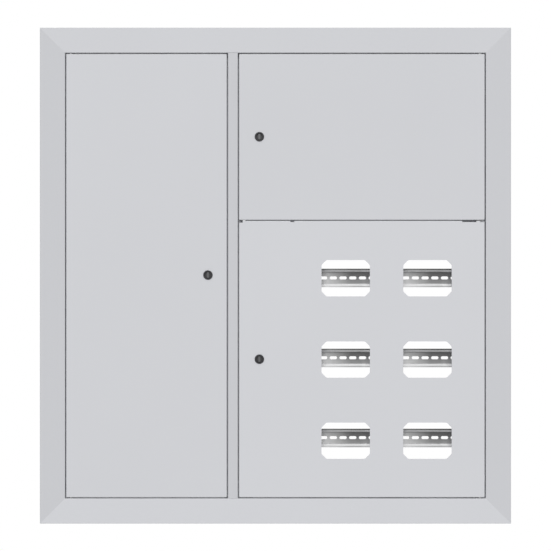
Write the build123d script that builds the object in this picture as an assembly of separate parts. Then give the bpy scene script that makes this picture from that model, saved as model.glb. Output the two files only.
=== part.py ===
"""Recessed storey distribution board: folded sheet-steel housing, open at the back, three locked doors."""

from build123d import *
import os

os.makedirs("parts", exist_ok=True)

# The whole board, in millimetres. X runs to the right, Z up, and the doors face -Y.
# The plane Y = 0 touches the back of the niche; the origin is the middle of the four fixing holes.
WIDTH = 950
HEIGHT = 1000
DEPTH = 140
SHEET = 1.2
BEND = 1.0
OUTER_BEND = BEND + SHEET / 2
FRONT = -DEPTH

# Trim that covers the joint between niche and housing
BORDER = 52
TRIM_FALL = 7
REVEAL = 18
STRIP_SHORTFALL = 4.4
OPENING_X = WIDTH / 2 - BORDER
OPENING_Z = HEIGHT / 2 - BORDER
STRIP_FRONT = FRONT + REVEAL
FLANGE_FRONT = STRIP_FRONT + SHEET
NICHE_FACE = FLANGE_FRONT + SHEET

# Housing walls
NICHE_MARGIN = 25
WALL_X = WIDTH / 2 - NICHE_MARGIN
WALL_Z = HEIGHT / 2 - NICHE_MARGIN
INNER_X = WALL_X - SHEET
INNER_Z = WALL_Z - SHEET
FRONT_FLANGE = 20
REAR_FLANGE = 20
FIXING_HOLE = 9
FIXING_X = WALL_X - REAR_FLANGE / 2
FIXING_Z = 400
ENTRY_LENGTH = 100
ENTRY_WIDTH = 50
ENTRY_Y = -60
ENTRY_X = [-340, -195, 139, 313]

# Mullion, partition and shelf
MULLION_X = -85.5
MULLION_WIDTH = 20
MULLION_LIP = 10
PARTITION_FOOT = 8
PARTITION_REAR = -25
PARTITION_EDGE = 12
SEAM_Z = 111.15
SEAM_GAP = 1.6
TONGUE_SHEET = 1.0
SHELF_TOP = SEAM_Z - TONGUE_SHEET / 2
SHELF_BEHIND_DOORS = 24
SHELF_FRONT = FRONT + SHELF_BEHIND_DOORS
SHELF_SHORTFALL = 10
SHELF_REAR = PARTITION_REAR - SHELF_SHORTFALL
SHELF_LIP = 15
SHELF_LIP_RELIEF = 22.5

# Doors
GAP = 2.2
RETURN = 16
DOOR_CORNER = 2.2
WINDOW_WIDTH = 97.4
WINDOW_HEIGHT = 73
WINDOW_CUT = 10
WINDOW_ROUNDING = 6
WINDOW_FROM_HINGES = 115.1
WINDOW_STEP = 164.4
WINDOW_RIGHT = OPENING_X - GAP - WINDOW_FROM_HINGES
WINDOW_X = [WINDOW_RIGHT - WINDOW_STEP, WINDOW_RIGHT]
WINDOW_Z = [-5.2, -168.8, -332.0]
NOTCH_AT_PIN = 3.6

# Notches in the lower door's top edge: start and end along X, depth, and reach behind the door's face
NOTCHES = [(-74, -65.8, 3.8, RETURN + 1), (30, 38, 2.6, RETURN + 1), (375.5, 404, 2.6, RETURN + 1),
           (411, 422, 2.6, NOTCH_AT_PIN)]

# Hinges: pins that stand in the trim, and one shared pin on a tongue in the seam
HINGE_INSET = 9
HINGE_BEHIND = 7
HINGE_X = OPENING_X - GAP - HINGE_INSET
HINGE_Y = FRONT + HINGE_BEHIND
PIN = 5
PIN_REACH = 7
PIN_SHOULDER = 7
PIN_SHOULDER_SLACK = 0.3
RIVET_HEAD = 8
RIVET_HEIGHT = 1.5
TONGUE_WIDTH = 12
TONGUE_OFFSET = 1
TONGUE_TIP = 3
TONGUE_ROUNDING = 2.5
TONGUE_ON_SHELF = 20
TONGUE_REAR = SHELF_FRONT + TONGUE_ON_SHELF
RUNNING_FIT = 0.05

# Quarter-turn locks with a double-bit spindle
LOCK_INSET = 38
LOCK_BEZEL = 19
BEZEL_HEIGHT = 1.6
BEZEL_ROUNDING = 0.6
LOCK_BARREL = 16
BARREL_FLATS = 14
LOCK_RECESS = 14
RECESS_DEPTH = 3.5
SPINDLE = 9.9
SPINDLE_PROUD = 0.2
SPINDLE_SQUARE = 7
BIT_WIDTH = 4
BIT_HEIGHT = 11
BIT_ROUNDING = 1
BIT_SINK = 0.5
NUT_FLATS = 20
NUT_HEIGHT = 4
CAM_CLEARANCE = 0.5
CAM_FRONT = FLANGE_FRONT + CAM_CLEARANCE
BARREL_TO_CAM = 1.3
BARREL_REAR = CAM_FRONT - BARREL_TO_CAM
CAM_SHEET = 2
CAM_REACH = 38
CAM_HUB = 16
CAM_ARM = 12
CAM_ROUNDING = 3
CAM_SCREW = 4
CAM_SCREW_LENGTH = 7
CAM_SCREW_HEAD = 10
CAM_SCREW_HEAD_HEIGHT = 2.8
LOCK_CLEARANCE = 0.1
LOCK_LEFT_X = MULLION_X - MULLION_WIDTH / 2 - GAP - LOCK_INSET
RIGHT_LOCK_FURTHER = 3
LOCK_RIGHT_X = MULLION_X + MULLION_WIDTH / 2 + GAP + LOCK_INSET + RIGHT_LOCK_FURTHER
LOCKS = {"left": (LOCK_LEFT_X, 1.2), "upper": (LOCK_RIGHT_X, 279.2), "lower": (LOCK_RIGHT_X, -167.9)}

# Mounting rails and the uprights that carry them
RAIL_HEIGHT = 38
RAIL_WEB = 25
RAIL_DEPTH = 7.5
RAIL_SHEET = 1.0
RAIL_PITCH = 20
SLOT_LENGTH = 15
SLOT_WIDTH = 6.2
SHORT_RAIL = 9 * RAIL_PITCH
LONG_RAIL = 20 * RAIL_PITCH
UPRIGHT_DEPTH = 20
UPRIGHT_EDGE = 8
UPRIGHT_WIDTH = 30
METER_BEHIND_DOORS = 64.5
METER_PLANE = FRONT + METER_BEHIND_DOORS
UPRIGHT_TO_SHELF_REAR = 2.5
BREAKER_PLANE = SHELF_REAR - UPRIGHT_TO_SHELF_REAR - UPRIGHT_DEPTH
METER_RAIL_OUTWARD = 22.2
METER_RAIL_X = [WINDOW_X[0] - METER_RAIL_OUTWARD, WINDOW_X[1] + METER_RAIL_OUTWARD]
METER_RAIL_Z = [-4.7, -169.0, -333.3]
SCREW_OUTER = 3 * RAIL_PITCH
SCREW_OFF_SLOT_MIDDLE = 4
SCREW_INNER = 4 * RAIL_PITCH + SCREW_OFF_SLOT_MIDDLE
SCREW_TO_UPRIGHT_EDGE = 6.6
MIDDLE_UPRIGHT_WIDTH = METER_RAIL_X[1] - METER_RAIL_X[0] - 2 * SCREW_INNER + 2 * SCREW_TO_UPRIGHT_EDGE
METER_UPRIGHTS = {
    "left": (METER_RAIL_X[0] - SCREW_OUTER, UPRIGHT_WIDTH),
    "middle": ((METER_RAIL_X[0] + METER_RAIL_X[1]) / 2, MIDDLE_UPRIGHT_WIDTH),
    "right": (METER_RAIL_X[1] + SCREW_OUTER, UPRIGHT_WIDTH),
}
LONG_RAIL_Z = [350, 215]
LONG_RAIL_SCREW = 8 * RAIL_PITCH
RAIL_SCREW = 4.9
RAIL_SCREW_LENGTH = 8
RAIL_SCREW_HEAD = 9.5
RAIL_SCREW_HEAD_HEIGHT = 3

# Round screw heads: width of the slot, and its depth and the rounding as shares of the head's height
SCREW_SLOT = 1.2
SLOT_SHARE = 0.5
ROUNDING_SHARE = 0.45

# Earth studs: one on the bottom wall, and one on the back of each door near its hinges
EARTH_X = 18
EARTH_BEHIND_DOORS = 40
EARTH_FROM_HINGES = 32
EARTH_ABOVE_EDGE = 46
EARTH_STUD = 6
EARTH_LENGTH = 20
EARTH_WASHER = 1.6
EARTH_WASHER_OUTER = 12
EARTH_NUT = 5
EARTH_NUT_FLATS = 10

# A horizontal bar is drawn with its outward side along the first axis and its depth along the second
CROSSWISE = Plane(origin=(0, 0, 0), x_dir=(0, 0, 1), z_dir=(-1, 0, 0))


def sheet_profile(*corners, thickness=SHEET):
    """The cut edge of a folded sheet, given by the corners of its middle line."""
    return trace(FilletPolyline(*corners, radius=BEND), thickness)


def along_y(outline, x, z, rear, front):
    """A prism with its outline in the XZ plane, from the rear depth to the front one."""
    plane = Plane(origin=(x, rear, z), x_dir=(1, 0, 0), z_dir=(0, -1, 0))
    return extrude(plane * outline, rear - front)


def along_z(outline, x, y, bottom, top):
    """An upright prism with its outline in the XY plane."""
    return extrude(Pos(x, y, bottom) * outline, top - bottom)


def box_between(low, high):
    """A box from its low corner to its high corner."""
    size = [b - a for a, b in zip(low, high)]
    middle = [(a + b) / 2 for a, b in zip(low, high)]
    return Pos(*middle) * Box(*size)


def mitre_wedge(vertical):
    """The part of space that one bar of a rectangular frame may fill: right-hand bar or top bar."""
    shift = (HEIGHT - WIDTH) / 2
    far = HEIGHT
    if vertical:
        corners = [(0, -shift), (0, shift), (far, far + shift), (far, -far - shift)]
    else:
        corners = [(0, shift), (far, far + shift), (-far, far + shift)]
    return along_y(make_face(Polyline(*corners, close=True)), 0, 0, DEPTH, -2 * DEPTH)


def mitred_bars(profile, half_width, half_height):
    """The right-hand and the top bar of a frame with mitred corners."""
    right = extrude(profile(half_width), HEIGHT, both=True) & mitre_wedge(True)
    top = extrude(CROSSWISE * profile(half_height), HEIGHT, both=True) & mitre_wedge(False)
    return right, top


def wall_profile(half):
    """Rear flange turned inwards, wall, front flange turned outwards."""
    skin = half - SHEET / 2
    front = FLANGE_FRONT + SHEET / 2
    return sheet_profile((half - REAR_FLANGE, -SHEET / 2), (skin, -SHEET / 2), (skin, front),
                         (skin + FRONT_FLANGE, front))


def trim_profile(opening):
    """Edge that lies on the niche, sloping face, reveal, and the strip welded to the wall's front flange."""
    inner = opening + SHEET / 2
    outer = opening + BORDER - SHEET / 2
    front = FRONT + SHEET / 2
    strip = STRIP_FRONT + SHEET / 2
    return sheet_profile((outer, NICHE_FACE), (outer, front + TRIM_FALL), (inner, front), (inner, strip),
                         (outer - STRIP_SHORTFALL, strip))


def make_walls():
    right, top = mitred_bars(wall_profile, WALL_X, WALL_Z)
    for z in (-FIXING_Z, FIXING_Z):
        right -= along_y(Circle(FIXING_HOLE / 2), FIXING_X, z, 1, -2 * SHEET)
    for x in ENTRY_X:
        top -= along_z(SlotOverall(ENTRY_LENGTH, ENTRY_WIDTH), x, ENTRY_Y, WALL_Z - 2 * SHEET, WALL_Z + 1)
    return {
        "wall_right": right,
        "wall_left": mirror(right, Plane.YZ),
        "wall_top": top,
        "wall_bottom": mirror(top, Plane.XY),
    }


def make_trims():
    right, top = mitred_bars(trim_profile, OPENING_X, OPENING_Z)
    for x in (-HINGE_X, HINGE_X):
        top -= along_z(Circle(PIN / 2 + RUNNING_FIT), x, HINGE_Y, OPENING_Z - 1, OPENING_Z + 2 * SHEET)
    return {
        "trim_right": right,
        "trim_left": mirror(right, Plane.YZ),
        "trim_top": top,
        "trim_bottom": mirror(top, Plane.XY),
    }


def make_mullion():
    """Hat section, flush with the doors; its lips lie behind the doors' edges and catch the cams."""
    half = MULLION_WIDTH / 2 - SHEET / 2
    front = FRONT + SHEET / 2
    lip = STRIP_FRONT + SHEET / 2
    profile = sheet_profile((-half - MULLION_LIP, lip), (-half, lip), (-half, front),
                            (half, front), (half, lip), (half + MULLION_LIP, lip))
    return Pos(MULLION_X, 0, 0) * extrude(profile, OPENING_Z, both=True)


def make_partition():
    """Sheet between the left compartment and the two right ones, with its foot inside the mullion."""
    foot = FRONT + 1.5 * SHEET
    rear = PARTITION_REAR - SHEET / 2
    profile = sheet_profile((MULLION_X - PARTITION_FOOT, foot), (MULLION_X, foot), (MULLION_X, rear),
                            (MULLION_X + PARTITION_EDGE, rear))
    sheet = extrude(profile, INNER_Z, both=True)
    for end in (-1, 1):
        corner = box_between((MULLION_X - MULLION_WIDTH, FRONT, OPENING_Z),
                             (MULLION_X + MULLION_WIDTH, FLANGE_FRONT, HEIGHT))
        sheet -= corner if end > 0 else mirror(corner, Plane.XY)
    return sheet


def make_shelf():
    """Shelf between the right compartments: lip down at the front, lip up at the rear."""
    level = SHELF_TOP - SHEET / 2
    front = SHELF_FRONT + SHEET / 2
    rear = SHELF_REAR - SHEET / 2
    profile = sheet_profile((level - SHELF_LIP, front), (level, front),
                            (level, rear), (level + SHELF_LIP, rear))
    left = MULLION_X + SHEET / 2
    span = INNER_X - left
    shelf = Pos(left + span / 2, 0, 0) * extrude(CROSSWISE * profile, span / 2, both=True)
    relief = box_between((left - 1, rear - OUTER_BEND, level - SHEET),
                         (MULLION_X + SHELF_LIP_RELIEF, 0, level + 2 * SHELF_LIP))
    return shelf - relief


def make_upright(x, width, face, bottom, top):
    """Channel, open to the rear, with its edges turned in."""
    half = width / 2 - SHEET / 2
    front = face + SHEET / 2
    rear = face + UPRIGHT_DEPTH - SHEET / 2
    profile = sheet_profile((-half + UPRIGHT_EDGE, rear), (-half, rear), (-half, front),
                            (half, front), (half, rear), (half - UPRIGHT_EDGE, rear))
    return along_z(profile, x, 0, bottom, top)


def make_rail(x, z, plane, length):
    """Slotted top-hat rail, its web on the plane of the uprights and its lips to the front."""
    web = plane - RAIL_SHEET / 2
    lip = plane - RAIL_DEPTH + RAIL_SHEET / 2
    step = RAIL_WEB / 2
    edge = RAIL_HEIGHT / 2
    profile = sheet_profile((edge, lip), (step, lip), (step, web), (-step, web), (-step, lip), (-edge, lip),
                            thickness=RAIL_SHEET)
    rail = Pos(x, 0, z) * extrude(CROSSWISE * profile, length / 2, both=True)
    count = int((length - SLOT_LENGTH) / 2 / RAIL_PITCH)
    slot = SlotOverall(SLOT_LENGTH, SLOT_WIDTH)
    slots = [along_y(slot, x + i * RAIL_PITCH, z, plane + 1, plane - 2) for i in range(-count, count + 1)]
    return rail - slots


def make_screw(thread, length, head, head_height):
    """Slotted round-headed screw at the origin, head towards -Y and thread towards +Y."""
    cap = along_y(Circle(head / 2), 0, 0, 0, -head_height)
    cap = fillet(cap.faces().sort_by(Axis.Y)[0].edges(), head_height * ROUNDING_SHARE)
    slot_floor = -head_height * (1 - SLOT_SHARE)
    cap -= box_between((-head, -head_height - 1, -SCREW_SLOT / 2), (head, slot_floor, SCREW_SLOT / 2))
    return cap + along_y(Circle(thread / 2), 0, 0, length, 0)


def rail_layout():
    """Every short rail: its middle, and where its screws go through the uprights."""
    left, right = METER_RAIL_X
    screws = {
        left: [left - SCREW_OUTER, left + SCREW_INNER],
        right: [right - SCREW_INNER, right + SCREW_OUTER],
    }
    return [(x, z, screws[x]) for z in METER_RAIL_Z for x in METER_RAIL_X]


def make_rails():
    """All rails with their screws, and the uprights drilled for them."""
    parts = {}
    for name, (x, width) in METER_UPRIGHTS.items():
        bottom = -INNER_Z
        parts["meter_upright_" + name] = make_upright(x, width, METER_PLANE, bottom, SHELF_TOP - SHEET)
    for name in ("left", "right"):
        x, width = METER_UPRIGHTS[name]
        parts["breaker_upright_" + name] = make_upright(x, width, BREAKER_PLANE, SHELF_TOP, INNER_Z)
    thread_hole = Circle(RAIL_SCREW / 2 + RUNNING_FIT)
    screw = make_screw(RAIL_SCREW, RAIL_SCREW_LENGTH, RAIL_SCREW_HEAD, RAIL_SCREW_HEAD_HEIGHT)

    meter_screws = []
    for number, (x, z, screw_x) in enumerate(rail_layout(), 1):
        parts["meter_rail_" + str(number)] = make_rail(x, z, METER_PLANE, SHORT_RAIL)
        for at in screw_x:
            meter_screws.append(Pos(at, METER_PLANE - RAIL_SHEET, z) * screw)
            for name, (middle, width) in METER_UPRIGHTS.items():
                if abs(at - middle) < width / 2:
                    hole = along_y(thread_hole, at, z, METER_PLANE + 2 * SHEET, METER_PLANE - 1)
                    parts["meter_upright_" + name] -= hole
    parts["meter_rail_screws"] = Compound(meter_screws)

    breaker_screws = []
    middle = (METER_UPRIGHTS["left"][0] + METER_UPRIGHTS["right"][0]) / 2
    for number, z in enumerate(LONG_RAIL_Z, 1):
        parts["breaker_rail_" + str(number)] = make_rail(middle, z, BREAKER_PLANE, LONG_RAIL)
        for name, side in (("left", -1), ("right", 1)):
            at = middle + side * LONG_RAIL_SCREW
            breaker_screws.append(Pos(at, BREAKER_PLANE - RAIL_SHEET, z) * screw)
            hole = along_y(thread_hole, at, z, BREAKER_PLANE + 2 * SHEET, BREAKER_PLANE - 1)
            parts["breaker_upright_" + name] -= hole
    parts["breaker_rail_screws"] = Compound(breaker_screws)
    return parts


def make_pan(left, right, bottom, top):
    """Door sheet with its four edges folded back."""
    skin = box_between((left, FRONT, bottom), (right, FRONT + RETURN, top))
    skin = fillet(skin.edges().filter_by(Axis.Y), DOOR_CORNER)
    skin = fillet(skin.faces().sort_by(Axis.Y)[0].edges(), OUTER_BEND)
    hollow = box_between((left + SHEET, FRONT + SHEET, bottom + SHEET),
                         (right - SHEET, FRONT + 2 * RETURN, top - SHEET))
    hollow = fillet(hollow.edges().filter_by(Axis.Y), DOOR_CORNER - SHEET)
    hollow = fillet(hollow.faces().sort_by(Axis.Y)[0].edges(), OUTER_BEND - SHEET)
    return skin - hollow


def make_door(left, right, bottom, top, hinge_x, lock):
    """Folded door with a hinge hole in each end and the flatted hole of its lock."""
    door = make_pan(left, right, bottom, top)
    door -= along_z(Circle(PIN / 2 + RUNNING_FIT), hinge_x, HINGE_Y, bottom - 1, top + 1)
    flats = Rectangle(2 * LOCK_BARREL, BARREL_FLATS + 2 * LOCK_CLEARANCE)
    barrel_hole = Circle(LOCK_BARREL / 2 + LOCK_CLEARANCE) & flats
    door -= along_y(barrel_hole, lock[0], lock[1], FRONT + 3 * SHEET, FRONT - 1)
    return door


def window_outline():
    """Rectangle with its corners cut off and softly rounded."""
    w, h, cut = WINDOW_WIDTH / 2, WINDOW_HEIGHT / 2, WINDOW_CUT
    corners = [(-w + cut, -h), (w - cut, -h), (w, -h + cut), (w, h - cut),
               (w - cut, h), (-w + cut, h), (-w, h - cut), (-w, -h + cut)]
    return make_face(FilletPolyline(*corners, radius=WINDOW_ROUNDING, close=True))


def make_doors():
    left_edge = -OPENING_X + GAP
    right_edge = OPENING_X - GAP
    far_edge = OPENING_Z - GAP
    left_inner = MULLION_X - MULLION_WIDTH / 2 - GAP
    right_inner = MULLION_X + MULLION_WIDTH / 2 + GAP
    seam_top = SEAM_Z + SEAM_GAP / 2
    seam_bottom = SEAM_Z - SEAM_GAP / 2
    left = make_door(left_edge, left_inner, -far_edge, far_edge, -HINGE_X, LOCKS["left"])
    upper = make_door(right_inner, right_edge, seam_top, far_edge, HINGE_X, LOCKS["upper"])
    lower = make_door(right_inner, right_edge, -far_edge, seam_bottom, HINGE_X, LOCKS["lower"])
    for x in WINDOW_X:
        for z in WINDOW_Z:
            lower -= along_y(window_outline(), x, z, FRONT + 3 * SHEET, FRONT - 1)
    for start, end, depth, reach in NOTCHES:
        lower -= box_between((start, FRONT - 1, seam_bottom - depth), (end, FRONT + reach, seam_bottom + 1))
    return {"left_door": left, "upper_door": upper, "lower_door": lower}


def make_lock_body(x, z):
    """Bezel on the door's face, flatted barrel through it, recess round the bit."""
    bezel = along_y(Circle(LOCK_BEZEL / 2), x, z, FRONT, FRONT - BEZEL_HEIGHT)
    bezel = fillet(bezel.faces().sort_by(Axis.Y)[0].edges(), BEZEL_ROUNDING)
    flatted = Circle(LOCK_BARREL / 2) & Rectangle(2 * LOCK_BARREL, BARREL_FLATS)
    barrel = along_y(flatted, x, z, BARREL_REAR, FRONT)
    floor = FRONT - BEZEL_HEIGHT + RECESS_DEPTH
    recess = along_y(Circle(LOCK_RECESS / 2), x, z, floor, FRONT - 2 * BEZEL_HEIGHT)
    bore = along_y(Circle(SPINDLE / 2 + RUNNING_FIT), x, z, BARREL_REAR + 1, floor - 1)
    return bezel + barrel - recess - bore


def make_lock_spindle(x, z):
    """Raised double bit, round shaft, square end for the cam, hole for the cam's screw."""
    floor = FRONT - BEZEL_HEIGHT + RECESS_DEPTH - SPINDLE_PROUD
    bit_outline = RectangleRounded(BIT_WIDTH, BIT_HEIGHT, BIT_ROUNDING)
    bit = along_y(bit_outline, x, z, floor, FRONT - BEZEL_HEIGHT + BIT_SINK)
    shaft = along_y(Circle(SPINDLE / 2), x, z, CAM_FRONT, floor)
    square = along_y(Rectangle(SPINDLE_SQUARE, SPINDLE_SQUARE), x, z, CAM_FRONT + CAM_SHEET, CAM_FRONT)
    hole_end = CAM_FRONT - CAM_SCREW_LENGTH - 1
    hole = along_y(Circle(CAM_SCREW / 2 + RUNNING_FIT), x, z, CAM_FRONT + CAM_SHEET, hole_end)
    return bit + shaft + square - hole


def make_cam(x, z):
    """Flat cam, hanging down when the lock is open."""
    arm = Pos(0, -CAM_REACH / 2) * RectangleRounded(CAM_ARM, CAM_REACH, CAM_ROUNDING)
    seat = SPINDLE_SQUARE + 2 * LOCK_CLEARANCE
    outline = Circle(CAM_HUB / 2) + arm - Rectangle(seat, seat)
    return along_y(outline, x, z, CAM_FRONT + CAM_SHEET, CAM_FRONT)


def make_lock_nut(x, z):
    outline = RegularPolygon(NUT_FLATS / 2, 6, major_radius=False) - Circle(LOCK_BARREL / 2 + RUNNING_FIT)
    return along_y(outline, x, z, FRONT + SHEET + NUT_HEIGHT, FRONT + SHEET)


def make_locks():
    parts = {}
    cam_screw = make_screw(CAM_SCREW, CAM_SCREW_LENGTH, CAM_SCREW_HEAD, CAM_SCREW_HEAD_HEIGHT)
    for name, (x, z) in LOCKS.items():
        parts[name + "_lock_body"] = make_lock_body(x, z)
        parts[name + "_lock_nut"] = make_lock_nut(x, z)
        parts[name + "_lock_spindle"] = make_lock_spindle(x, z)
        parts[name + "_lock_cam"] = make_cam(x, z)
        parts[name + "_cam_screw"] = Pos(x, CAM_FRONT + CAM_SHEET, z) * Rot(0, 0, 180) * cam_screw
    return parts


def make_hinge_pin(x):
    """Pin riveted into the upper reveal, with a shoulder in the gap above the door."""
    face = OPENING_Z
    shaft = along_z(Circle(PIN / 2), x, HINGE_Y, face - GAP - PIN_REACH, face + SHEET)
    shoulder = along_z(Circle(PIN_SHOULDER / 2), x, HINGE_Y, face - GAP + PIN_SHOULDER_SLACK, face)
    head = along_z(Circle(RIVET_HEAD / 2), x, HINGE_Y, face + SHEET, face + SHEET + RIVET_HEIGHT)
    return shaft + shoulder + head


def make_tongue():
    """Flat tongue on the shelf that reaches into the seam and holds the pin shared by both right doors."""
    front = FRONT + TONGUE_TIP
    length = TONGUE_REAR - front
    outline = RectangleRounded(TONGUE_WIDTH, length, TONGUE_ROUNDING)
    outline = Pos(HINGE_X - TONGUE_OFFSET, front + length / 2) * outline
    outline -= Pos(HINGE_X, HINGE_Y) * Circle(PIN / 2 + RUNNING_FIT)
    return along_z(outline, 0, 0, SHELF_TOP, SHELF_TOP + TONGUE_SHEET)


def make_hinges():
    top_pins = [make_hinge_pin(x) for x in (-HINGE_X, HINGE_X)]
    bottom_pins = [mirror(pin, Plane.XY) for pin in top_pins]
    middle_pin = along_z(Circle(PIN / 2), HINGE_X, HINGE_Y, SEAM_Z - PIN_REACH, SEAM_Z + PIN_REACH)
    return {
        "hinge_pins": Compound(top_pins + bottom_pins),
        "shared_hinge_pin": middle_pin,
        "shared_hinge_tongue": make_tongue(),
    }


def make_terminal(name, foot):
    """Stud welded to a sheet at the foot plane, with its washer and nut."""
    hole = Circle(EARTH_STUD / 2 + RUNNING_FIT)
    ring = Circle(EARTH_WASHER_OUTER / 2) - hole
    hexagon = RegularPolygon(EARTH_NUT_FLATS / 2, 6, major_radius=False) - hole
    return {
        name + "_stud": extrude(foot * Circle(EARTH_STUD / 2), EARTH_LENGTH),
        name + "_washer": extrude(foot * ring, EARTH_WASHER),
        name + "_nut": extrude(foot.offset(EARTH_WASHER) * hexagon, EARTH_NUT),
    }


def make_earth_terminals():
    """One terminal on the bottom wall, and one low on the back of each door."""
    floor = Plane(origin=(EARTH_X, FRONT + EARTH_BEHIND_DOORS, -INNER_Z), x_dir=(1, 0, 0), z_dir=(0, 0, 1))
    terminals = make_terminal("earth", floor)
    low = -OPENING_Z + EARTH_ABOVE_EDGE
    feet = {
        "left": (-HINGE_X + EARTH_FROM_HINGES, low),
        "upper": (HINGE_X - EARTH_FROM_HINGES, SEAM_Z + EARTH_ABOVE_EDGE),
        "lower": (HINGE_X - EARTH_FROM_HINGES, low),
    }
    for name, (x, z) in feet.items():
        back = Plane(origin=(x, FRONT + SHEET, z), x_dir=(1, 0, 0), z_dir=(0, 1, 0))
        terminals.update(make_terminal(name + "_door_earth", back))
    return terminals


parts = {}
parts.update(make_walls())
parts.update(make_trims())
parts["mullion"] = make_mullion()
parts["partition"] = make_partition()
parts["shelf"] = make_shelf()
parts.update(make_rails())
parts.update(make_doors())
parts.update(make_locks())
parts.update(make_hinges())
parts.update(make_earth_terminals())

for name, shape in parts.items():
    export_step(shape, "parts/" + name + ".step")
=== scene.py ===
import math

import bpy
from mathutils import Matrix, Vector

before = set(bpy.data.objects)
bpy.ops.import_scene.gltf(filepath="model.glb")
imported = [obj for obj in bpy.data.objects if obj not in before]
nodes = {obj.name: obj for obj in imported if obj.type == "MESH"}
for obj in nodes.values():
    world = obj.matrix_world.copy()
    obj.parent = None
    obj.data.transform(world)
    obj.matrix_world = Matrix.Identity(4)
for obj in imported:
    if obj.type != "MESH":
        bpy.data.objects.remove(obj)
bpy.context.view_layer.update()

# Nearly all of a noise lies in this span
NOISE_SPAN = (0.3, 0.7)

# Paint: a light cool grey, and for each painted part the painted light or shade on it: how much darker or
# lighter it is drawn than the grey, to stand in for the way the light falls on that part
COAT = (0.566, 0.573, 0.598)
COAT_PAINTED_LIGHT_AND_SHADE = {
    "trim_top": 0.930,
    "trim_bottom": 1.022,
    "trim_left": 0.899,
    "trim_right": 0.921,
    "mullion": 0.887,
    "left_door": 0.964,
    "upper_door": 0.957,
    "lower_door": 0.983,
}
CLOUD_SCALE = 4.0
CLOUD_TONES = (0.993, 1.007)
PEEL_SCALE = 900.0
PEEL_STRENGTH = 0.12
PEEL_HEIGHT = 0.00004

# Metals
GALVANISED = (0.46, 0.47, 0.48)
ZINC = (0.50, 0.50, 0.48)
PIN_ZINC = (0.34, 0.34, 0.34)
# The shared hinges sit in the seam between the right doors and are darkened far below zinc as painted shade,
# so that they read as the dark seam
SHARED_HINGE_SEAM_SHADE = (0.12, 0.12, 0.12)
GRAIN_SCALE = 10.0
GRAIN_SPAN = (0.25, 0.75)

# Locks: the bodies, and the bits, which are drawn darker from in front of the doors to behind their face as
# painted shade in the recess of the lock
LOCK_BODY = (0.027, 0.027, 0.030)
SPINDLE = (0.075, 0.075, 0.077)
RECESS_SHADE_FROM = -0.0008
RECESS_SHADE_TO = 0.0014
RECESS_SHADE_TONE = 0.5

# Mounting rails: how far each rail's middle lies outward of the middle of its window
RAIL_OUTWARD = 0.0222
STREAK_GRAIN = (6.0, 60.0, 220.0)
STREAK_TONES = (0.93, 1.07)

# Painted light and shade on the rails: height on the rail from its lower edge (0) to its upper one (1), and
# the painted tone there at three places:
# at the left end of the window, right of its middle, and at its right end
RAIL_PAINTED_LIGHT = (
    (0.00, 0.60, 0.34, 0.50),  # lower edge
    (0.05, 0.68, 0.40, 0.60),
    (0.07, 0.74, 0.64, 0.92),  # lower lip
    (0.17, 0.74, 0.76, 0.95),
    (0.21, 0.58, 0.25, 0.35),  # web below the slots
    (0.40, 0.55, 0.20, 0.32),
    (0.60, 0.53, 0.12, 0.16),  # web above the slots
    (0.78, 0.54, 0.12, 0.14),
    (0.84, 0.60, 0.46, 0.66),  # upper lip
    (0.93, 0.50, 0.44, 0.63),
    (0.95, 0.22, 0.06, 0.06),  # upper edge
)

# Where each painted tone of light and shade blends into the next one, along X from the middle of the window
RAIL_PAINTED_LIGHT_BLENDS = ((-0.047, 0.014), (0.033, 0.055))

# Light and surroundings
WHITE = (1.0, 1.0, 1.0, 1.0)
SOFT_LIGHT = 0.60
SUNS = (
    ("key from above", (0.0, 1.0, -0.50), 1.0, 14),
    ("fill from the front", (0.14, 1.0, -0.25), 0.62, 10),
    ("rim from behind", (0.35, -1.0, -0.6), 0.7, 20),
)
FLOOR_SIZE = 3.0
FLOOR_Z = -2.4
FLOOR_COLOUR = (0.9, 0.9, 0.9)
FLOOR_TONES = (0.98, 1.0)
FLOOR_GLOW = 0.35

# Camera, straight in front of the board, almost on its axis
CAMERA_X = 0.0001
CAMERA_Z = 0.0003
CAMERA_DISTANCE = 2.7
SENSOR = 36.0
LENS = 87.75

# The colour sockets of a mix node
MIX_FIRST = 6
MIX_SECOND = 7
MIX_RESULT = 2


def corners(node):
    """The low and the high corner of a node, in its own frame."""
    low = [min(corner[axis] for corner in node.bound_box) for axis in range(3)]
    high = [max(corner[axis] for corner in node.bound_box) for axis in range(3)]
    return low, high


def new_material(name):
    material = bpy.data.materials.new(name)
    material.use_nodes = True
    tree = material.node_tree
    return material, tree.nodes, tree.links, tree.nodes["Principled BSDF"]


def object_position(n):
    return n.new("ShaderNodeTexCoord").outputs["Object"]


def along_axis(n, links, position, axis):
    """One coordinate of the position: X, Y or Z."""
    axes = n.new("ShaderNodeSeparateXYZ")
    links.new(position, axes.inputs["Vector"])
    return axes.outputs[axis]


def stretched(n, links, position, grain):
    """The position times a factor for each axis, so that a pattern is drawn out along one of them."""
    node = n.new("ShaderNodeVectorMath")
    node.operation = "MULTIPLY"
    node.inputs[1].default_value = grain
    links.new(position, node.inputs[0])
    return node.outputs["Vector"]


def noise(n, links, position, scale, detail):
    texture = n.new("ShaderNodeTexNoise")
    texture.inputs["Scale"].default_value = scale
    texture.inputs["Detail"].default_value = detail
    links.new(position, texture.inputs["Vector"])
    return texture.outputs["Fac"]


def remap(n, links, value, span, out):
    """The value, taken from one span to another and held at its ends."""
    node = n.new("ShaderNodeMapRange")
    node.inputs["From Min"].default_value, node.inputs["From Max"].default_value = span
    node.inputs["To Min"].default_value, node.inputs["To Max"].default_value = out
    links.new(value, node.inputs["Value"])
    return node.outputs["Result"]


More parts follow.
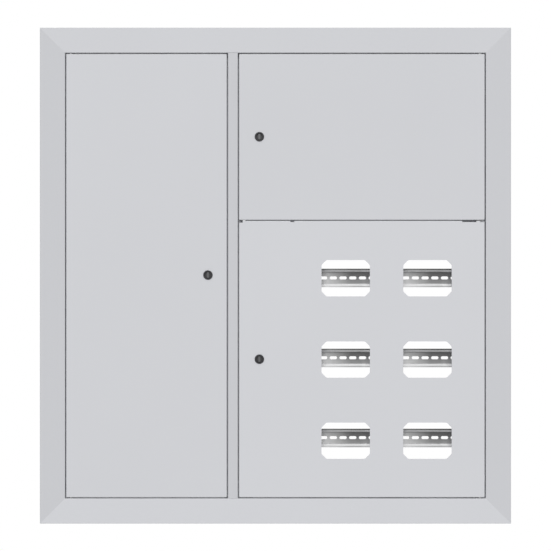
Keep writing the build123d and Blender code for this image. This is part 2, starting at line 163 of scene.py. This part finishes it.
def tone(n, links, colour, factor):
    """The colour, a plain one or another node's, times a factor that varies over the surface."""
    node = n.new("ShaderNodeVectorMath")
    node.operation = "SCALE"
    if isinstance(colour, tuple):
        node.inputs[0].default_value = colour
    else:
        links.new(colour, node.inputs[0])
    links.new(factor, node.inputs["Scale"])
    return node.outputs["Vector"]


def grey_ramp(n, links, factor, stops):
    """A grey that changes evenly from each place to the next, given by pairs of place and value."""
    ramp = n.new("ShaderNodeValToRGB")
    ramp.color_ramp.interpolation = "LINEAR"
    steps = ramp.color_ramp.elements
    while len(steps) < len(stops):
        steps.new(0.5)
    for step, (place, value) in zip(steps, stops):
        step.position = place
        step.color = (value, value, value, 1.0)
    links.new(factor, ramp.inputs["Fac"])
    return ramp.outputs["Color"]


def blend(n, links, first, second, factor):
    mix = n.new("ShaderNodeMix")
    mix.data_type = "RGBA"
    links.new(factor, mix.inputs["Factor"])
    links.new(first, mix.inputs[MIX_FIRST])
    links.new(second, mix.inputs[MIX_SECOND])
    return mix.outputs[MIX_RESULT]


def finish(links, shader, colour, metallic, roughness):
    """Set the surface's colour, how much of it is metal, and how rough it is."""
    links.new(colour, shader.inputs["Base Color"])
    shader.inputs["Metallic"].default_value = metallic
    shader.inputs["Roughness"].default_value = roughness


def powder_coat(name, colour, roughness=0.6, specular=0.5):
    """Satin powder coat: a faint cloudiness and the fine orange peel of the cured powder."""
    material, n, links, shader = new_material(name)
    position = object_position(n)
    clouds = noise(n, links, position, scale=CLOUD_SCALE, detail=3.0)
    cloud = remap(n, links, clouds, NOISE_SPAN, CLOUD_TONES)
    finish(links, shader, tone(n, links, colour, cloud), metallic=0.0, roughness=roughness)
    shader.inputs["Specular IOR Level"].default_value = specular
    peel = n.new("ShaderNodeBump")
    peel.inputs["Strength"].default_value = PEEL_STRENGTH
    peel.inputs["Distance"].default_value = PEEL_HEIGHT
    links.new(noise(n, links, position, scale=PEEL_SCALE, detail=2.0), peel.inputs["Height"])
    links.new(peel.outputs["Normal"], shader.inputs["Normal"])
    return material


def plated(name, colour, roughness, grain=60.0, spread=0.1):
    """Plated or galvanised metal with a cloudy grain."""
    material, n, links, shader = new_material(name)
    position = stretched(n, links, object_position(n), (grain, grain, grain))
    clouds = noise(n, links, position, scale=GRAIN_SCALE, detail=4.0)
    grey = remap(n, links, clouds, GRAIN_SPAN, (1 - spread, 1 + spread))
    finish(links, shader, tone(n, links, colour, grey), metallic=1.0, roughness=roughness)
    return material


def spindle_metal(name, colour, door_face):
    """Dull zinc, with painted shade at the foot of the bit, in the recess of the lock."""
    material, n, links, shader = new_material(name)
    depth = along_axis(n, links, object_position(n), "Y")
    # Painted shade: the bit is drawn darker the deeper it lies in the recess
    recess_shade = remap(n, links, depth, (door_face + RECESS_SHADE_FROM, door_face + RECESS_SHADE_TO), (1.0, RECESS_SHADE_TONE))
    finish(links, shader, tone(n, links, colour, recess_shade), metallic=0.6, roughness=0.5)
    return material


def rail_metal(name, window_x, bottom, top):
    """Galvanised rail: bright at the lower left and dark at the upper right, as the open window lights it."""
    material, n, links, shader = new_material(name)
    position = object_position(n)
    across = along_axis(n, links, position, "X")
    upward = remap(n, links, along_axis(n, links, position, "Z"), (bottom, top), (0.0, 1.0))
    # Painted light and shade: a ramp of greys up the rail at each of three places across the window, blended
    # along X
    heights, *columns = zip(*RAIL_PAINTED_LIGHT)
    tones = [grey_ramp(n, links, upward, list(zip(heights, column))) for column in columns]
    blended = tones[0]
    for (start, end), following in zip(RAIL_PAINTED_LIGHT_BLENDS, tones[1:]):
        share = remap(n, links, across, (window_x + start, window_x + end), (0.0, 1.0))
        blended = blend(n, links, blended, following, share)
    streaks = noise(n, links, stretched(n, links, position, STREAK_GRAIN), scale=5.0, detail=3.0)
    streak = remap(n, links, streaks, NOISE_SPAN, STREAK_TONES)
    finish(links, shader, tone(n, links, blended, streak), metallic=0.3, roughness=0.55)
    return material


# Each painted part gets its own copy of the coat, darker or lighter as painted light or shade for how the
# light falls on it
def painted(name):
    return powder_coat("light grey powder coat, " + name, tuple(c * COAT_PAINTED_LIGHT_AND_SHADE[name] for c in COAT))


def short_rail(name, node):
    """The metal of one short rail, its painted light and shade fitted to the window in front of it: odd rails
    are in the left column.
    """
    number = int(name.split("_")[-1])
    low, high = corners(node)
    middle = (low[0] + high[0]) / 2
    window_x = middle + RAIL_OUTWARD if number % 2 else middle - RAIL_OUTWARD
    return rail_metal("rail " + str(number), window_x, low[2], high[2])


def dress_nodes(door_face):
    """Give every node its one material."""
    inner_coat = powder_coat("light grey powder coat", COAT)
    galvanised = plated("galvanised sheet", GALVANISED, roughness=0.5, grain=2.0, spread=0.12)
    zinc = plated("bright zinc", ZINC, roughness=0.35)
    pins = plated("dull zinc", PIN_ZINC, roughness=0.5)
    # Shared hinges: zinc darkened as painted shade of the seam they sit in
    shared_hinge = plated("zinc darkened as painted seam shade", SHARED_HINGE_SEAM_SHADE, roughness=0.5)
    lock_body = powder_coat("dark lock body", LOCK_BODY, roughness=0.55, specular=0.28)
    spindle = spindle_metal("dull zinc spindle", SPINDLE, door_face)
    for name, node in nodes.items():
        if name in COAT_PAINTED_LIGHT_AND_SHADE:
            material = painted(name)
        elif name.startswith("wall_") or name in ("partition", "shelf"):
            material = inner_coat
        elif name.endswith("lock_body"):
            material = lock_body
        elif name.endswith("lock_spindle"):
            material = spindle
        elif name == "hinge_pins":
            material = pins
        elif name.startswith("shared_hinge_"):
            material = shared_hinge
        elif name.endswith("_screws"):
            material = zinc
        elif "upright" in name or name.startswith("breaker_rail_"):
            material = galvanised
        elif name.startswith("meter_rail_"):
            material = short_rail(name, node)
        else:
            material = zinc
        node.data.materials.clear()
        node.data.materials.append(material)


def seen_rays(n, links):
    """1 for the camera's rays and those that metal or glass sends on, 0 for all others."""
    rays = n.new("ShaderNodeLightPath")
    seen = rays.outputs["Is Camera Ray"]
    for ray in ("Is Glossy Ray", "Is Transmission Ray"):
        add = n.new("ShaderNodeMath")
        add.operation = "ADD"
        add.use_clamp = True
        links.new(seen, add.inputs[0])
        links.new(rays.outputs[ray], add.inputs[1])
        seen = add.outputs["Value"]
    return seen


def background(tree, strength):
    node = tree.nodes.new("ShaderNodeBackground")
    node.inputs["Color"].default_value = WHITE
    node.inputs["Strength"].default_value = strength
    return node.outputs["Background"]


def surround():
    """White surroundings for the camera and for reflections, plain soft light for everything else."""
    world = bpy.data.worlds.new("studio")
    bpy.context.scene.world = world
    world.use_nodes = True
    tree = world.node_tree
    tree.nodes.clear()
    mix = tree.nodes.new("ShaderNodeMixShader")
    tree.links.new(seen_rays(tree.nodes, tree.links), mix.inputs["Fac"])
    tree.links.new(background(tree, SOFT_LIGHT), mix.inputs[1])
    tree.links.new(background(tree, 1.0), mix.inputs[2])
    output = tree.nodes.new("ShaderNodeOutputWorld")
    tree.links.new(mix.outputs["Shader"], output.inputs["Surface"])


def add_sun(name, direction, strength, spread):
    data = bpy.data.lights.new(name, "SUN")
    data.energy = strength
    data.angle = math.radians(spread)
    lamp = bpy.data.objects.new(name, data)
    lamp.rotation_mode = "QUATERNION"
    lamp.rotation_quaternion = Vector(direction).to_track_quat("-Z", "Y")
    bpy.context.scene.collection.objects.link(lamp)


def add_floor():
    """A pale floor far below the board, almost as white as the surroundings, also in reflections."""
    bpy.ops.mesh.primitive_plane_add(size=FLOOR_SIZE, location=(0.0, 0.0, FLOOR_Z))
    floor = bpy.context.object
    floor.name = "floor"
    material, n, links, shader = new_material("pale floor")
    speckles = noise(n, links, object_position(n), scale=30.0, detail=3.0)
    speckle = remap(n, links, speckles, NOISE_SPAN, FLOOR_TONES)
    finish(links, shader, tone(n, links, FLOOR_COLOUR, speckle), metallic=0.0, roughness=0.9)
    shader.inputs["Emission Color"].default_value = WHITE
    glow = remap(n, links, seen_rays(n, links), (0.0, 1.0), (0.0, FLOOR_GLOW))
    links.new(glow, shader.inputs["Emission Strength"])
    floor.data.materials.append(material)


def add_camera(door_face):
    data = bpy.data.cameras.new("camera")
    data.sensor_width = SENSOR
    data.lens = LENS
    camera = bpy.data.objects.new("camera", data)
    camera.location = (CAMERA_X, door_face - CAMERA_DISTANCE, CAMERA_Z)
    camera.rotation_euler = (math.radians(90), 0, 0)
    bpy.context.scene.collection.objects.link(camera)
    bpy.context.scene.camera = camera


door_face = corners(nodes["left_door"])[0][1]
dress_nodes(door_face)
surround()
for sun in SUNS:
    add_sun(*sun)
add_floor()
add_camera(door_face)
bpy.context.scene.view_settings.view_transform = "Standard"
